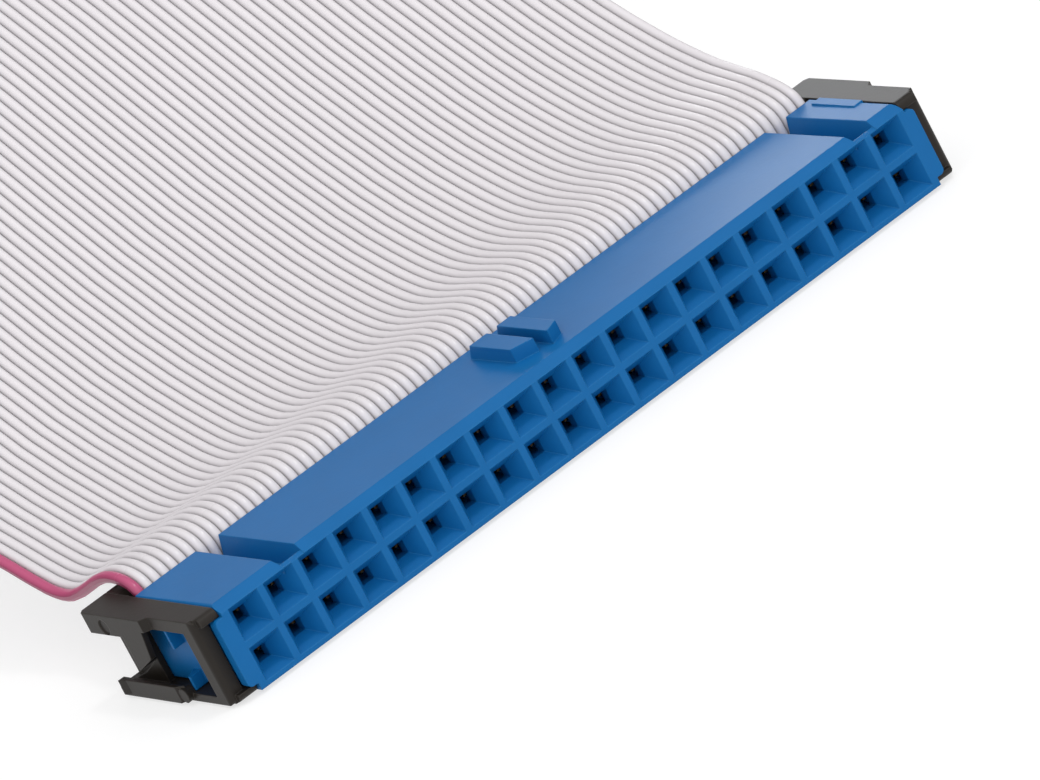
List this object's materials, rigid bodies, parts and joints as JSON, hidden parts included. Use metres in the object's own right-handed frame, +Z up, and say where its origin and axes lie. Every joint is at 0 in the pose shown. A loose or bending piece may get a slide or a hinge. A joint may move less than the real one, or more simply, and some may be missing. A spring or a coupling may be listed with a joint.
{
  "type": "ribbon cable",
  "caption": "Flat grey ribbon cable with a coloured edge conductor and a clamped two-row pin socket on each end, one blue and one black.",
  "frame": {"origin": "middle of the near socket, on the table that it lies on", "axes": "+X along the near socket, away from the marked conductor; -Y out of its mating face; +Z up"},
  "size_m": [0.0558, 0.4455, 0.0423],
  "materials": {
    "blue_plastic": "satin moulded",
    "black_plastic": "satin moulded",
    "far_body_plastic": "satin moulded",
    "contact_metal": "plated",
    "bar_metal": "tinned",
    "grey_insulation": "smooth soft insulation",
    "marked_insulation": "smooth soft insulation"
  },
  "bodies": {
    "root": {"host_body": "blue_plastic", "host_cover": "black_plastic", "host_contacts_upper": "contact_metal", "host_contacts_lower": "contact_metal", "host_ground_bar_upper": "bar_metal", "host_ground_bar_lower": "bar_metal", "ribbon": "grey_insulation", "marked_conductor": "marked_insulation", "far_body": "far_body_plastic", "far_cover": "black_plastic", "far_contacts_upper": "contact_metal", "far_contacts_lower": "contact_metal", "far_ground_bar_upper": "bar_metal", "far_ground_bar_lower": "bar_metal"}
  },
  "joints": []
}
